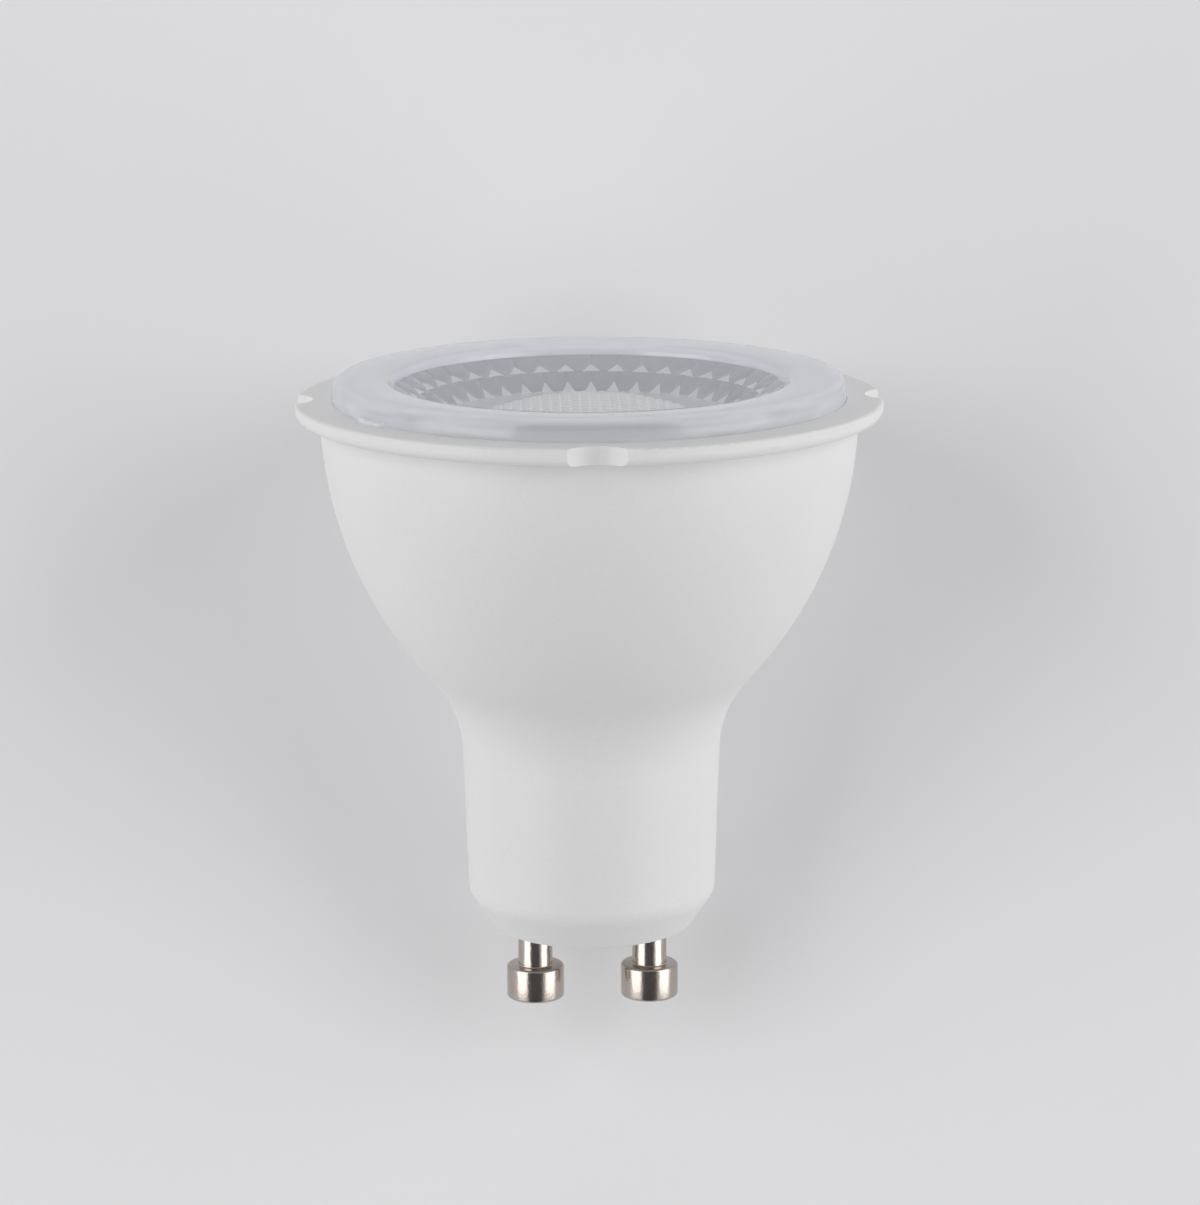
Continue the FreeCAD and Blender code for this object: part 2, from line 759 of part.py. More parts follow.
def chip_resistors():
    """Chip resistors on the board's back, two on each side of the choke."""
    wide, deep, tall = chip_resistor_size
    z = driver_bottom_z + chip_resistor_lift
    chips = []
    for side in (-1, 1):
        for step in (0, 1):
            x = side * (chip_resistor_start + step * chip_resistor_pitch)
            low = (x - wide / 2, driver_back, z - tall / 2)
            chips.append(box(low, (x + wide / 2, driver_back + deep, z + tall / 2)))
    return Part.makeCompound(chips)


def mains_lead(x, z):
    """Stripped lead from a pin's bore straight up, then bent into the driver board."""
    tail_z = floor_z + pin_collar_height + pin_tail_length
    start = tail_z - pin_bore_depth + hole_fit
    route = [(x, 0, start), (x, 0, z), (x, driver_back + leg_run_out, z)]
    return bent_wire(route, mains_lead_dia, mains_lead_bend)


def led_lead(x, z):
    """Lead from the driver board back and up through the cup to the light source board."""
    route = [(x, driver_offset - leg_run_out, z), (x, led_lead_reach, z)]
    route.append((x, led_lead_reach, led_board_top_z + led_lead_stand))
    return bent_wire(route, led_lead_dia, led_lead_bend)


nodes = {
    "outer_shell": outer_shell(),
    "lens": lens(),
    "contact_pin_left": contact_pin(pin_places()[0]),
    "contact_pin_right": contact_pin(pin_places()[1]),
    "heat_sink_cup": heat_sink_cup(),
    "thermal_pad": thermal_pad(),
    "led_board": led_board(),
    "led_substrate": led_substrate(),
    "led_phosphor": led_phosphor(),
    "board_screws": Part.makeCompound([board_screw(place) for place in screw_places()]),
    "driver_board": driver_board(),
    "bulk_capacitor": bulk_capacitor(),
    "output_capacitor": output_capacitor(),
    "film_capacitor": film_capacitor(),
    "fusible_resistor": fusible_resistor(),
    "inductor_core": inductor_core(),
    "inductor_winding": inductor_winding(),
    "bridge_rectifier": surface_package(rectifier_size, rectifier_place, rectifier_legs),
    "driver_chip": surface_package(chip_size, chip_place, chip_legs),
    "freewheel_diode": surface_package(diode_size, diode_place, diode_legs),
    "chip_resistors": chip_resistors(),
    "live_lead": mains_lead(*mains_spots[0]),
    "neutral_lead": mains_lead(*mains_spots[1]),
    "led_lead_plus": led_lead(*led_spots[0]),
    "led_lead_minus": led_lead(*led_spots[1]),
}

os.makedirs("parts", exist_ok=True)
for name, shape in nodes.items():
    shape.exportStep("parts/" + name + ".step")
    solids = shape.Solids
    volume = sum(solid.Volume for solid in solids)
    print(name, len(solids), "solids", round(volume, 2), "mm3", "valid" if shape.isValid() else "not valid")
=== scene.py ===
import math

import bmesh
import bpy
from mathutils import Matrix, Vector


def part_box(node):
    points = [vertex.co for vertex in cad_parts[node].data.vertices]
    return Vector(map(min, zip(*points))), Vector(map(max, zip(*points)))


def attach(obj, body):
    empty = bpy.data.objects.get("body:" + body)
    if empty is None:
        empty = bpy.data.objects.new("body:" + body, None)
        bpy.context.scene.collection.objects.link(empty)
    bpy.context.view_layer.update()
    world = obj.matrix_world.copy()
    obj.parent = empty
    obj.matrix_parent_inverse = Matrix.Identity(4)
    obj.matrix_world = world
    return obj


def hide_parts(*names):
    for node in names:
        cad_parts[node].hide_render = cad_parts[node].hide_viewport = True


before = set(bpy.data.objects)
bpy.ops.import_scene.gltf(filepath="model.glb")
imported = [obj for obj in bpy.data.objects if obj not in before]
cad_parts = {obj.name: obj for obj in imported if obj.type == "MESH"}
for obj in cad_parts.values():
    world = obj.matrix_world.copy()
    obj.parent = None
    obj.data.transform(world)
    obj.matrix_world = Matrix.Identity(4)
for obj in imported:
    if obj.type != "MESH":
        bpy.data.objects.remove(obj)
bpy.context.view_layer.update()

MM = 0.001


# Outer shell
# The body is one injection moulding in white PBT: base, neck, bell and notched flange.
# Its steel mould is spark eroded, which leaves the skin satin with a very fine grain.
shell_low, shell_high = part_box("outer_shell")
base_z = shell_low.z
flange_front_z = shell_high.z
flange_r = shell_high.x
flange_thickness = 1.5 * MM


def linear(hex_colour):
    """Linear colour, with alpha, of an sRGB hex value."""
    channels = [int(hex_colour[place:place + 2], 16) / 255 for place in (1, 3, 5)]
    return [c / 12.92 if c <= 0.04045 else ((c + 0.055) / 1.055) ** 2.4 for c in channels] + [1]


def add(tree, kind, inputs, **settings):
    """A new node with its settings, each input given a value or linked from a socket."""
    made = tree.nodes.new(kind)
    for name, value in settings.items():
        setattr(made, name, value)
    for name, value in inputs.items():
        if isinstance(value, bpy.types.NodeSocket):
            tree.links.new(value, made.inputs[name])
        else:
            made.inputs[name].default_value = value
    return made


# Grains are drawn a tenth of a millimetre wide or more, because the finest real ones would not show.
def mottled(name, tones, roughness, grain_mm, relief_mm=0.0, stretch=(1, 1, 1), metallic=0.0):
    """A finish of two tones and a range of gloss, all led by one noise grain that may be drawn out."""
    material = bpy.data.materials.new(name)
    material.use_nodes = True
    tree = material.node_tree
    shader = tree.nodes["Principled BSDF"]
    place = add(tree, "ShaderNodeTexCoord", {}).outputs["Object"]
    drawn = add(tree, "ShaderNodeMapping", {"Vector": place, "Scale": stretch}).outputs["Vector"]
    grain = add(tree, "ShaderNodeTexNoise", {"Vector": drawn, "Scale": 1 / (grain_mm * MM), "Detail": 4})
    amount = grain.outputs["Fac"]
    colour = add(tree, "ShaderNodeMix", {
        "Factor": amount,
        "A": linear(tones[0]),
        "B": linear(tones[1]),
    }, data_type="RGBA", name="tone")
    gloss = add(tree, "ShaderNodeMapRange", {"Value": amount, "To Min": roughness[0], "To Max": roughness[1]})
    tree.links.new(colour.outputs["Result"], shader.inputs["Base Color"])
    tree.links.new(gloss.outputs["Result"], shader.inputs["Roughness"])
    shader.inputs["Metallic"].default_value = metallic
    if relief_mm:
        relief = add(tree, "ShaderNodeBump", {"Height": amount, "Strength": 1, "Distance": relief_mm * MM})
        tree.links.new(relief.outputs["Normal"], shader.inputs["Normal"])
    return material


def dress(material, *node_names):
    """Gives CAD nodes a material."""
    for node_name in node_names:
        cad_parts[node_name].material_slots[0].material = material


# White PBT from a spark-eroded mould: broad soft highlights and a hair-fine relief. Its grain is drawn
# coarser than it is.
white_pbt = mottled("white_pbt_moulding", ("#E1E1E1", "#E8E8E7"), (0.42, 0.55), grain_mm=0.3,
                    relief_mm=0.002)
dress(white_pbt, "outer_shell")


# Contact pins
# Turned brass pins, bright nickel plated, pressed through the base's floor and swaged inside it.
# They are barrel polished before plating, which rounds their edges and ripples their faces.
base_floor = 1.6 * MM
floor_z = base_z + base_floor
pin_head_height = 2.95 * MM
pin_head_round = 0.26 * MM
pin_foot_round = 0.12 * MM
pin_neck_r = 1.5 * MM
pin_collar_r = 1.9 * MM
pin_collar_height = 0.6 * MM
pin_tail_r = 1.1 * MM
pin_bore_r = 0.5 * MM
pin_bore_depth = 1.6 * MM
round_steps = 6
pin_steps = 96
sharp_angle = math.radians(30)
merge_gap = 0.0001 * MM


def lathe(outline, steps):
    """A bmesh turned about Z from a half section of (radius, height, edge round) points."""
    shape = bmesh.new()
    corners = [shape.verts.new((radius, 0, height)) for radius, height, edge_round in outline]
    for pair in zip(corners, corners[1:]):
        shape.edges.new(pair)
    for corner, (radius, height, edge_round) in zip(corners, outline):
        if edge_round:
            bmesh.ops.bevel(shape, geom=[corner], offset=edge_round, offset_type="OFFSET", affect="VERTICES",
                            segments=round_steps, profile=0.5, material=-1)
    bmesh.ops.spin(shape, geom=shape.verts[:] + shape.edges[:], cent=(0, 0, 0), axis=(0, 0, 1),
                   angle=2 * math.pi, steps=steps, use_merge=True)
    bmesh.ops.remove_doubles(shape, verts=shape.verts[:], dist=merge_gap)
    bmesh.ops.recalc_face_normals(shape, faces=shape.faces[:])
    return shape


def finish_piece(name, shape, materials, node_name):
    """An object from a bmesh, smooth between its sharp edges, that stands for a CAD node."""
    for face in shape.faces:
        face.smooth = True
    for edge in shape.edges:
        edge.smooth = edge.calc_face_angle(0) < sharp_angle
    mesh = bpy.data.meshes.new(name)
    shape.to_mesh(mesh)
    shape.free()
    piece = bpy.data.objects.new(name, mesh)
    for material in materials:
        piece.data.materials.append(material)
    bpy.context.scene.collection.objects.link(piece)
    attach(piece, "root")
    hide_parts(node_name)


# Nickel plate on barrel-polished brass: bright and a little warm, with faint upright ripples.
nickel = mottled("bright_nickel_plate", ("#A9A098", "#C3BAB2"), (0.12, 0.26), grain_mm=0.16,
                 relief_mm=0.009, stretch=(1, 1, 0.6), metallic=1)
for side in ("left", "right"):
    pin_low, pin_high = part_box("contact_pin_" + side)
    pin_head_r = (pin_high.x - pin_low.x) / 2
    collar_z = floor_z + pin_collar_height
    bore_z = pin_high.z - pin_bore_depth
    pin = lathe([
        (0, pin_low.z, 0),
        (pin_head_r, pin_low.z, pin_head_round),
        (pin_head_r, pin_low.z + pin_head_height, pin_head_round),
        (pin_neck_r, pin_low.z + pin_head_height, pin_foot_round),
        (pin_neck_r, floor_z, 0),
        (pin_collar_r, floor_z, 0),
        (pin_collar_r, collar_z, pin_foot_round),
        (pin_tail_r, collar_z, 0),
        (pin_tail_r, pin_high.z, 0),
        (pin_bore_r, pin_high.z, 0),
        (pin_bore_r, bore_z, 0),
        (0, bore_z, 0),
    ], pin_steps)
    pin_axis = Vector(((pin_low.x + pin_high.x) / 2, 0, 0))
    bmesh.ops.translate(pin, verts=pin.verts[:], vec=pin_axis)
    finish_piece("nickel_pin_" + side, pin, [nickel], "contact_pin_" + side)


# Mains leads
# Stripped and tinned copper wires from the pins' bores to the driver board, soldered at both ends.
# The tin is wiped on hot, so it lies in soft dull streaks along the wire.

# Tin over copper: a pale grey metal, half dull.
tinned = mottled("tinned_copper_wire", ("#A9A7A2", "#C4C2BD"), (0.28, 0.45), grain_mm=0.4,
                 relief_mm=0.005, stretch=(1, 1, 0.3), metallic=1)
dress(tinned, "live_lead", "neutral_lead")


# Driver board
# Glass-fibre laminate under green solder mask, slid into the shell's guide channels.
# The weave of the cloth shows faintly through the mask.
weave_mm = 0.6

# Green solder mask: even and half glossy over the cloth.
laminate = mottled("green_masked_laminate", ("#1C5A31", "#2A7040"), (0.3, 0.42), grain_mm=weave_mm,
                   relief_mm=0.004, stretch=(1, 1, 1.6))
dress(laminate, "driver_board")


# Driver components
# Sleeved electrolytic cans, a dipped film capacitor, a flameproof resistor, a wound ferrite drum
# and moulded chips, all soldered to the driver board.

# Shrunk PVC sleeve: black and smooth, with a soft shine.
sleeve = mottled("shrunk_black_sleeve", ("#15171D", "#22252E"), (0.2, 0.32), grain_mm=1.5)
dress(sleeve, "bulk_capacitor", "output_capacitor")
# Dipped epoxy: red and glossy, lumpy as it ran.
dipped_epoxy = mottled("dipped_red_epoxy", ("#8C2015", "#A52F20"), (0.12, 0.22), grain_mm=1.2,
                       relief_mm=0.03)
dress(dipped_epoxy, "film_capacitor")
# Flameproof coating: grey-green, dry and matt.
flameproof = mottled("flameproof_grey_coating", ("#8FB0A6", "#A4BFB6"), (0.55, 0.7), grain_mm=0.25,
                     relief_mm=0.01)
dress(flameproof, "fusible_resistor")
# Sintered ferrite: near black, with a fine dull grit.
ferrite = mottled("sintered_ferrite", ("#2B2B2C", "#414142"), (0.5, 0.7), grain_mm=0.15, relief_mm=0.006)
dress(ferrite, "inductor_core")
# Enamelled copper: red-brown metal, in lines as wide as the wire.
wire_mm = 0.25
enamelled = mottled("enamelled_copper_wire", ("#7A3214", "#B86A3A"), (0.2, 0.35), grain_mm=wire_mm,
                    relief_mm=0.05, stretch=(0.15, 1, 0.15), metallic=1)
dress(enamelled, "inductor_winding")
# Moulded epoxy: black, matt and finely grained.
moulded_epoxy = mottled("moulded_black_epoxy", ("#141415", "#232324"), (0.45, 0.6), grain_mm=0.12,
                        relief_mm=0.003)
dress(moulded_epoxy, "bridge_rectifier", "driver_chip", "freewheel_diode", "chip_resistors")


# Heat sink cup
# Drawn from plain aluminium sheet and pressed into the bell; it carries the light source.
# Drawing leaves fine streaks down its wall.

# Plain aluminium: pale, half bright, streaked along the draw.
drawn_aluminium = mottled("drawn_aluminium", ("#B4B6B8", "#C9CBCD"), (0.3, 0.42), grain_mm=0.4,
                          relief_mm=0.003, stretch=(1, 1, 0.1), metallic=1)
dress(drawn_aluminium, "heat_sink_cup")


# Light source
# A white-masked aluminium board on a soft heat pad carries a ceramic base with a phosphor pad.
# Two zinc plated pan head screws hold the stack down on the cup's floor.

# Filled silicone: grey, soft and dull.
soft_silicone = mottled("filled_grey_silicone", ("#9EA2A6", "#B0B3B6"), (0.65, 0.8), grain_mm=0.2,
                        relief_mm=0.01)
dress(soft_silicone, "thermal_pad")
# White solder mask: even, with a half gloss.
white_mask = mottled("white_solder_mask", ("#DADBDA", "#E8E8E6"), (0.3, 0.4), grain_mm=0.5,
                     relief_mm=0.003)
dress(white_mask, "led_board")
# Fired ceramic: white and matt.
white_ceramic = mottled("fired_white_ceramic", ("#E2E2DE", "#EDEDE8"), (0.45, 0.6), grain_mm=0.1,
                        relief_mm=0.002)
dress(white_ceramic, "led_substrate")
# Phosphor in silicone: pale yellow with a soft shine.
phosphor = mottled("cured_phosphor_silicone", ("#DDD08A", "#E9DFA6"), (0.35, 0.45), grain_mm=0.15,
                   relief_mm=0.004)
dress(phosphor, "led_phosphor")
# Zinc plate: a cool grey metal, slightly cloudy.
zinc_plate = mottled("zinc_plated_steel", ("#A5A6A6", "#BDBDBB"), (0.25, 0.4), grain_mm=0.3,
                     relief_mm=0.004, metallic=1)
dress(zinc_plate, "board_screws")


# Low voltage leads
# Thin wires in extruded insulation, red and black, from the driver board to the light source.
# Extrusion leaves the skin smooth and even, with a slight wave along it.

# Extruded PVC: plain colours with a soft shine.
red_insulation = mottled("extruded_red_insulation", ("#A51F1B", "#B92E28"), (0.3, 0.4), grain_mm=1.0,
                         relief_mm=0.01)
dress(red_insulation, "led_lead_plus")
black_insulation = mottled("extruded_black_insulation", ("#161616", "#212121"), (0.3, 0.4), grain_mm=1.0,
                           relief_mm=0.01)
dress(black_insulation, "led_lead_minus")


# Lens
# One PMMA moulding snapped into the flange: a hazy round-edged rim that slopes to its lip, with two
# keys, a dish with two rows of clear pillows, a domed disc of small beads in its middle, and a
# collimator cone behind it.
lens_low, lens_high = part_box("lens")
lens_top_z = lens_high.z
collimator_foot_z = lens_low.z
lens_seat_depth = 1 * MM
lens_seat_z = flange_front_z - lens_seat_depth
lens_r = 21.85 * MM
lens_shoulder = 1.05 * MM
lip_r = 16.6 * MM
lip_round = 0.69 * MM
lip_drop = 0.3 * MM
lip_height = 0.7 * MM
lip_z = lens_top_z - lip_drop - lip_height
lip_land = 0.2 * MM
rim_crest_r = 19.6 * MM
rim_crest_round = 0.9 * MM
dish_foot_r = 13.0 * MM
dish_depth = 3.65 * MM
moat_z = lens_top_z - dish_depth
lower_row_height = 1.475 * MM
waist_z = moat_z + lower_row_height
disc_r = 8.5 * MM
disc_side = 0.35 * MM
disc_z = moat_z + disc_side
disc_crown = 1.4 * MM
seat_bore_r = 20.6 * MM
collimator_mouth_r = 17.5 * MM
collimator_foot_r = 6.0 * MM
cavity_r = 4.7 * MM
cavity_depth = 3.2 * MM
cavity_z = collimator_foot_z + cavity_depth
key_turns = (math.radians(-145.5), math.radians(34.5))
key_size = (1.2 * MM, 3.0 * MM, 1.35 * MM)
key_reach = 0.6 * MM
key_round = 0.15 * MM
key_round_steps = 3
bead_pitch = 0.83 * MM
bead_height = 0.12 * MM
disc_rings = 96
facet_count = 42
facet_phase = 0.25
steps_per_facet = 8
lens_steps = facet_count * steps_per_facet
# Gaps between the pillows: half their width as a share of a facet, their height as a share of the row
upper_gap = (0.36, 0.42)
lower_gap = (0.27, 0.5)
# Each pillow rises in two steps: how far each lies inside the last, and how far it stands out
pillow_steps = ((0.05 * MM, 0.04 * MM), (0.35 * MM, 0.06 * MM))
close_by = 0.001 * MM
CLEAR = 0
HAZY_AND_SHADE = 1
SATIN_AND_HIGHLIGHT = 2
FROSTED_AND_LINES = 3
SHADE_GREY_RING = 4


def bead_rise(place):
    """Height of the beads above the disc at a place: round caps in a square grid."""
    across = 2 * (place.x / bead_pitch % 1) - 1
    along = 2 * (place.y / bead_pitch % 1) - 1
    return bead_height * (1 - across ** 2 - along ** 2)


# The rim, the underside with its collimator and cavity, open at the dish
lens = lathe([
    (lip_r + lip_land, lip_z, 0),
    (lip_r + lip_land, lens_top_z - lip_drop, lip_round),
    (rim_crest_r, lens_top_z, rim_crest_round),
    (lens_r, lens_top_z, lens_shoulder),
    (lens_r, lens_seat_z, 0),
    (seat_bore_r, lens_seat_z, 0),
    (collimator_mouth_r, lens_seat_z, 0),
    (collimator_foot_r, collimator_foot_z, 0),
    (cavity_r, collimator_foot_z, 0),
    (cavity_r, cavity_z, 0),
    (0, cavity_z, 0),
], lens_steps)

# The beaded disc: a crowned face of rings, its side down to the moat
disc_line = [lens.verts.new((disc_r * ring / disc_rings, 0, disc_z)) for ring in range(disc_rings + 1)]
disc_line.append(lens.verts.new((disc_r, 0, moat_z)))
disc_edges = [lens.edges.new(pair) for pair in zip(disc_line, disc_line[1:])]
bmesh.ops.spin(lens, geom=disc_line + disc_edges, cent=(0, 0, 0), axis=(0, 0, 1), angle=2 * math.pi,
               steps=lens_steps, use_merge=True)
bmesh.ops.remove_doubles(lens, verts=lens.verts[:], dist=merge_gap)
for vert in lens.verts:
    vert_r = vert.co.xy.length
    if abs(vert.co.z - disc_z) < close_by and vert_r < disc_r + close_by:
        vert.co.z += disc_crown * (1 - (vert_r / disc_r) ** 2) + bead_rise(vert.co)

# Which finish each face has
for face in lens.faces:
    middle = face.calc_center_median()
    middle_r = middle.xy.length
    # The flat ring under the rim is a grey that paints the shade seen through the dish
    if abs(middle.z - lens_seat_z) < close_by:
        face.material_index = SHADE_GREY_RING if middle_r < seat_bore_r else CLEAR
    elif middle_r > lip_r:
        face.material_index = HAZY_AND_SHADE
    elif middle_r < disc_r and middle.z > moat_z:
        face.material_index = FROSTED_AND_LINES

# The keys: two small blocks at the rim's foot that stop the lens turning in the flange
body_faces = set(lens.faces)
for turn in key_turns:
    key_middle = Vector((lens_r + key_reach - key_size[0] / 2, 0, lens_seat_z + key_size[2] / 2))
    key_place = Matrix.Rotation(turn, 4, "Z") @ Matrix.Translation(key_middle)
    key = bmesh.ops.create_cube(lens, size=1, matrix=key_place @ Matrix.Diagonal((*key_size, 1)))
    key_edges = list({edge for vert in key["verts"] for edge in vert.link_edges})
    bmesh.ops.bevel(lens, geom=key_edges, offset=key_round, offset_type="OFFSET", affect="EDGES",
                    segments=key_round_steps, profile=0.5, material=-1)
for face in lens.faces:
    if face not in body_faces:
        face.material_index = SATIN_AND_HIGHLIGHT


# The pillows: one step of both rows, with its share of the lip and the moat, repeated all round
def on_ring(radius, height, steps):
    """A lens corner at a radius and height, some steps of a facet's width round from X."""
    turn = (steps + facet_phase) * 2 * math.pi / facet_count
    return lens.verts.new((radius * math.cos(turn), radius * math.sin(turn), height))


def between(start, end, share):
    """A lens corner part of the way from one corner to another."""
    return lens.verts.new(start.co.lerp(end.co, share))


corner_reach = 1 / math.cos(math.pi / facet_count)
waist_r = (lip_r + dish_foot_r) / 2
fine_steps = [step / steps_per_facet for step in range(steps_per_facet + 1)]
rim_edge = [on_ring(lip_r + lip_land, lip_z, step) for step in fine_steps]
disc_edge = [on_ring(disc_r, moat_z, step) for step in fine_steps]
lip = [on_ring(lip_r * corner_reach, lip_z, step) for step in (0, 1)]
seed_verts = rim_edge + disc_edge + lip
seed_faces = [lens.faces.new(rim_edge + lip[::-1])]
top = lip
rows = ((waist_r, waist_z, upper_gap), (dish_foot_r, moat_z, lower_gap))
for ring_r, ring_z, (gap_half, gap_height) in rows:
    ends = [on_ring(ring_r * corner_reach, ring_z, step) for step in (0, 1)]
    base = [between(ends[0], ends[1], share) for share in (gap_half, 1 - gap_half)]
    sides = [between(ends[0], top[0], gap_height), between(ends[1], top[-1], gap_height)]
    gaps = [lens.faces.new((sides[0], base[0], ends[0])), lens.faces.new((sides[1], ends[1], base[1]))]
    # The gaps are milkier and paler than the pillows, which paints the highlights on them; the moat and the
    # keys are plain satin
    for gap in gaps:
        gap.material_index = SATIN_AND_HIGHLIGHT
    seed_faces += gaps + [lens.faces.new(top + [sides[1], base[1], base[0], sides[0]])]
    seed_verts += ends + base + sides
    top = [ends[0], base[0], base[1], ends[1]]
moat = lens.faces.new(top + disc_edge[::-1])
moat.material_index = SATIN_AND_HIGHLIGHT
seed_faces.append(moat)
seed_edges = list({edge for face in seed_faces for edge in face.edges})
bmesh.ops.spin(lens, geom=seed_verts + seed_edges + seed_faces, cent=(0, 0, 0), axis=(0, 0, 1),
               angle=2 * math.pi * (1 - 1 / facet_count), steps=facet_count - 1, use_duplicate=True)
bmesh.ops.remove_doubles(lens, verts=lens.verts[:], dist=close_by)
bmesh.ops.recalc_face_normals(lens, faces=lens.faces[:])
# Only the pillows have 6 corners, in the upper row, or 8, in the lower one
pillows = [face for face in lens.faces if len(face.verts) in (6, 8)]
for inset, rise in pillow_steps:
    bmesh.ops.inset_individual(lens, faces=pillows, thickness=inset, depth=rise, use_even_offset=True)

pmma_ior = 1.49
flow_mark_mm = 2.5
flow_relief_mm = 0.004
lamp_light_tint = "#F7F8FB"


def moulded_pmma(name, tones, roughness, clear_share):
    """PMMA of which a share is clear and the rest milky, and which lets lamp light through."""
    material = mottled(name, tones, roughness, grain_mm=flow_mark_mm, relief_mm=flow_relief_mm)
    tree = material.node_tree
    shader = tree.nodes["Principled BSDF"]
    shader.inputs["Transmission Weight"].default_value = clear_share
    shader.inputs["IOR"].default_value = pmma_ior
    lit = add(tree, "ShaderNodeLightPath", {}).outputs["Is Shadow Ray"]
    through = add(tree, "ShaderNodeBsdfTransparent", {"Color": linear(lamp_light_tint)})
    mixed = add(tree, "ShaderNodeMixShader", {0: lit, 1: shader.outputs["BSDF"], 2: through.outputs["BSDF"]})
    tree.links.new(mixed.outputs["Shader"], tree.nodes["Material Output"].inputs["Surface"])
    return material


# Polished PMMA in the pillows and the cone, hazy on the rim with a band of painted shade, satin in the gaps
# with a painted highlight, satin in the moat and on the keys, frosted on the beads with painted light and
# shade, and a grey on the flat ring under the rim that paints the shade seen through the dish.
clear_pmma = moulded_pmma("clear_pmma_moulding", ("#DFE0E5", "#E6E7EB"), (0.02, 0.06), clear_share=0.65)
hazy_and_shade_pmma = moulded_pmma("hazy_pmma_with_painted_shade", ("#F1F2F8", "#F6F7FC"), (0.06, 0.12), clear_share=0.4)
satin_and_highlight_pmma = moulded_pmma("satin_pmma_with_painted_highlight", ("#F1F2F5", "#F7F8FA"), (0.08, 0.14), clear_share=0.4)
frosted_and_lines_pmma = moulded_pmma("frosted_pmma_with_painted_lines", ("#F5F5F7", "#FAFAFB"), (0.08, 0.14), clear_share=0.3)
shade_grey_pmma = moulded_pmma("pmma_ring_with_painted_shade", ("#989BA1", "#A2A5AB"), (0.3, 0.4), clear_share=0.2)
lens_finishes = [clear_pmma, hazy_and_shade_pmma, satin_and_highlight_pmma, frosted_and_lines_pmma, shade_grey_pmma]

# The grooves between the beads are milky, and the crowns of the beads clearer: painted light and shade, pale
# lines in the grooves and darker crowns
groove_half = 0.18
crown_clear_share = 0.34
groove_clear_share = 0.18
bead_tree = frosted_and_lines_pmma.node_tree
bead_place = add(bead_tree, "ShaderNodeTexCoord", {}).outputs["Object"]
bead_grooves = add(bead_tree, "ShaderNodeTexBrick", {
    "Vector": bead_place,
    "Scale": 1 / bead_pitch,
    "Brick Width": 1,
    "Row Height": 1,
    "Mortar Size": groove_half,
    "Mortar Smooth": 1,
}, offset=0).outputs["Fac"]
bead_share = add(bead_tree, "ShaderNodeMapRange", {
    "Value": bead_grooves,
    "To Min": crown_clear_share,
    "To Max": groove_clear_share,
})
bead_tree.links.new(bead_share.outputs["Result"],
                    bead_tree.nodes["Principled BSDF"].inputs["Transmission Weight"])

# The rim's shoulder is clearer than its top and its foot, which paints a darker band of shade round it:
# (share of its height, clear share)
rim_clearness = ((0.35, 0.46), (0.55, 0.57), (0.66, 0.54), (0.92, 0.26))
foot_clear_share = 0.42
rim_tree = hazy_and_shade_pmma.node_tree
rim_place = add(rim_tree, "ShaderNodeTexCoord", {}).outputs["Object"]
rim_height = add(rim_tree, "ShaderNodeSeparateXYZ", {"Vector": rim_place}).outputs["Z"]
rim_share = add(rim_tree, "ShaderNodeMapRange", {
    "Value": rim_height,
    "From Min": flange_front_z,
    "From Max": lens_top_z,
}).outputs["Result"]
clear_ramp = add(rim_tree, "ShaderNodeValToRGB", {"Fac": rim_share})
stops = clear_ramp.color_ramp.elements
stops.remove(stops[1])
stops[0].color = (foot_clear_share, foot_clear_share, foot_clear_share, 1)
for height_share, clear_share in rim_clearness:
    stops.new(height_share).color = (clear_share, clear_share, clear_share, 1)
rim_tree.links.new(clear_ramp.outputs["Color"],
                   rim_tree.nodes["Principled BSDF"].inputs["Transmission Weight"])
finish_piece("pmma_lens", lens, lens_finishes, "lens")


# Table
# A plain pale surface that the lamp lies on, touching its flange and its base.
# It is seen from its front only, so that the lamp's back stays in view. The lamp lies rolled a
# little about its own axis, so the table, the lights and the camera are turned the other way.
stage_turn = Matrix.Rotation(math.radians(-1.6), 4, "Z")
table_touch = Vector((0, flange_r, flange_front_z - flange_thickness / 2))
table_lean = math.radians(18.5)
table_half = 900 * MM

table_shape = bmesh.new()
table_place = stage_turn @ Matrix.Translation(table_touch)
table_turn = Matrix.Rotation(math.pi / 2 - table_lean, 4, "X")
bmesh.ops.create_grid(table_shape, x_segments=1, y_segments=1, size=table_half,
                      matrix=table_place @ table_turn)
table_mesh = bpy.data.meshes.new("table")
table_shape.to_mesh(table_mesh)
table_shape.free()
table = bpy.data.objects.new("table", table_mesh)
bpy.context.scene.collection.objects.link(table)
table.visible_shadow = False

# Pale matt paper, almost even in tone
table_paper = mottled("pale_table_paper", ("#EAEAEC", "#EDEDEF"), (0.8, 0.9), grain_mm=40)
paper_tree = table_paper.node_tree
behind = add(paper_tree, "ShaderNodeNewGeometry", {}).outputs["Backfacing"]
unseen = add(paper_tree, "ShaderNodeBsdfTransparent", {})
paper_side = add(paper_tree, "ShaderNodeMixShader", {
    0: behind,
    1: paper_tree.nodes["Principled BSDF"].outputs["BSDF"],
    2: unseen.outputs["BSDF"],
})
paper_tree.links.new(paper_side.outputs["Shader"], paper_tree.nodes["Material Output"].inputs["Surface"])
table.data.materials.append(table_paper)


# Lights
# Two tall softboxes stand left and right of the camera, and a dim one lights the lamp's back.
# A white room fills the shadows.
lamp_middle = Vector((0, 0, (base_z + flange_front_z) / 2))


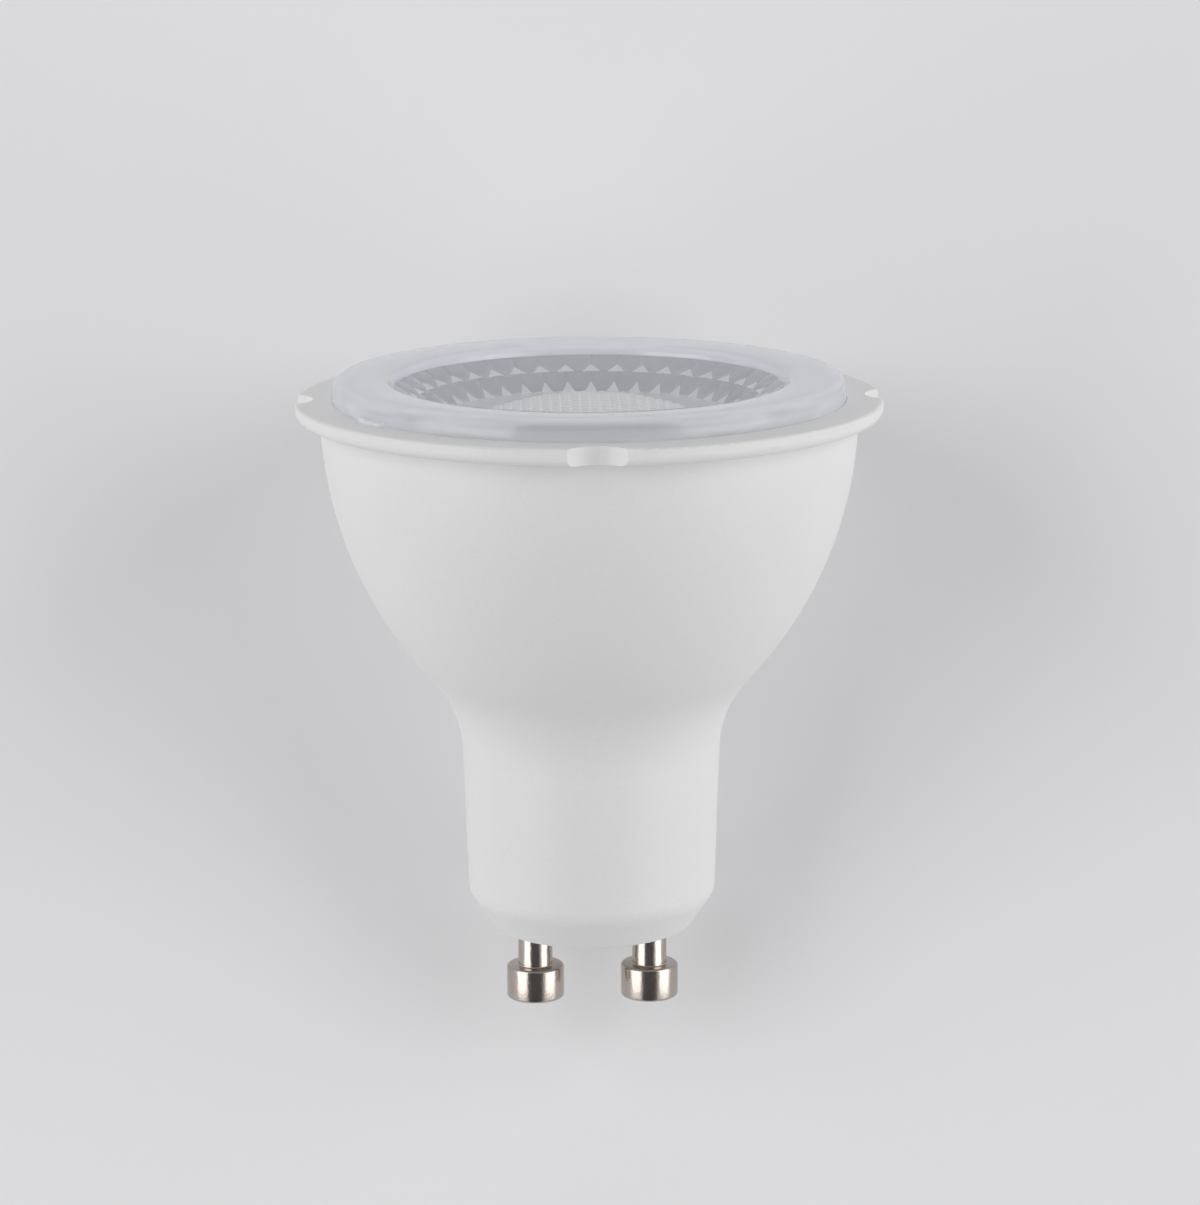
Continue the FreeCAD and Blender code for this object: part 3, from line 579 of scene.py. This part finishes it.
def softbox(name, turn, raise_angle, distance, width, height, watts):
    """A rectangular light that faces the lamp, turned about it from the camera's side."""
    light = bpy.data.lights.new(name, "AREA")
    light.shape = "RECTANGLE"
    light.size = width
    light.size_y = height
    light.energy = watts
    made = bpy.data.objects.new(name, light)
    towards = Vector((math.sin(turn) * math.cos(raise_angle), -math.cos(turn) * math.cos(raise_angle),
                      math.sin(raise_angle)))
    aim = towards.to_track_quat("Z", "Y").to_matrix().to_4x4()
    made.matrix_world = stage_turn @ Matrix.Translation(lamp_middle + towards * distance) @ aim
    bpy.context.scene.collection.objects.link(made)


softbox("left_softbox", turn=math.radians(-55), raise_angle=math.radians(9), distance=600 * MM,
        width=500 * MM, height=800 * MM, watts=2.45)
softbox("right_softbox", turn=math.radians(63), raise_angle=math.radians(9), distance=600 * MM,
        width=500 * MM, height=800 * MM, watts=2.55)
softbox("back_fill", turn=math.radians(180), raise_angle=math.radians(8), distance=900 * MM,
        width=1200 * MM, height=1200 * MM, watts=1.2)

# Black card around the camera: it shows only in reflections, as the dark room does in bright metal
card_distance = 500 * MM
card_half = (300 * MM, 1000 * MM)
card_shape = bmesh.new()
card_place = stage_turn @ Matrix.Translation((0, -card_distance, lamp_middle.z))
card_spread = Matrix.Rotation(math.pi / 2, 4, "X") @ Matrix.Diagonal((*card_half, 1, 1))
bmesh.ops.create_grid(card_shape, x_segments=1, y_segments=1, size=1, matrix=card_place @ card_spread)
card_mesh = bpy.data.meshes.new("black_card")
card_shape.to_mesh(card_mesh)
card_shape.free()
card = bpy.data.objects.new("black_card", card_mesh)
bpy.context.scene.collection.objects.link(card)
card.visible_camera = False
card.visible_diffuse = False
card.visible_shadow = False
card.visible_transmission = False
card.data.materials.append(mottled("black_card", ("#5A5A5C", "#666668"), (0.8, 0.9), grain_mm=5))

# The white room: dim as light, brighter where it is seen directly, in metal or through the lens
room_light = 0.3
room_seen = 0.7
world = bpy.data.worlds.new("studio")
bpy.context.scene.world = world
world.use_nodes = True
ray = add(world.node_tree, "ShaderNodeLightPath", {})
seen = add(world.node_tree, "ShaderNodeMath", {
    0: ray.outputs["Is Camera Ray"],
    1: ray.outputs["Is Glossy Ray"],
}, operation="MAXIMUM")
seen = add(world.node_tree, "ShaderNodeMath", {0: seen.outputs[0], 1: ray.outputs["Is Transmission Ray"]},
           operation="MAXIMUM")
level = add(world.node_tree, "ShaderNodeMapRange", {
    "Value": seen.outputs[0],
    "To Min": room_light,
    "To Max": room_seen,
})
surround = world.node_tree.nodes["Background"]
surround.inputs["Color"].default_value = linear("#FFFFFF")
world.node_tree.links.new(level.outputs["Result"], surround.inputs["Strength"])


# Camera
# It looks along the lamp's side from the front, raised a little so that the lens face shows.
# A long lens from about a third of a metre, at the photograph's framing.
image_height = 1205
focal_pixels = 4056.7
view_distance = 350 * MM
view_raise = math.radians(12.59)
view_roll = math.radians(-0.29)
view_centre = Vector((0, 0, base_z + 25 * MM))
view_shift = (0.826 * MM, 3.355 * MM)

forward = Vector((0, math.cos(view_raise), -math.sin(view_raise)))
level_right = Vector((1, 0, 0))
level_up = level_right.cross(forward)
right = level_right * math.cos(view_roll) + level_up * math.sin(view_roll)
up = level_up * math.cos(view_roll) - level_right * math.sin(view_roll)
eye = view_centre - forward * view_distance + level_right * view_shift[0] + level_up * view_shift[1]
camera = bpy.data.objects.new("camera", bpy.data.cameras.new("camera"))
camera.matrix_world = stage_turn @ Matrix((
    (right.x, up.x, -forward.x, eye.x),
    (right.y, up.y, -forward.y, eye.y),
    (right.z, up.z, -forward.z, eye.z),
    (0, 0, 0, 1),
))
camera.data.lens = focal_pixels / image_height * camera.data.sensor_width
camera.data.clip_start = 10 * MM
bpy.context.scene.collection.objects.link(camera)
bpy.context.scene.camera = camera

bpy.context.scene.view_settings.view_transform = "Standard"
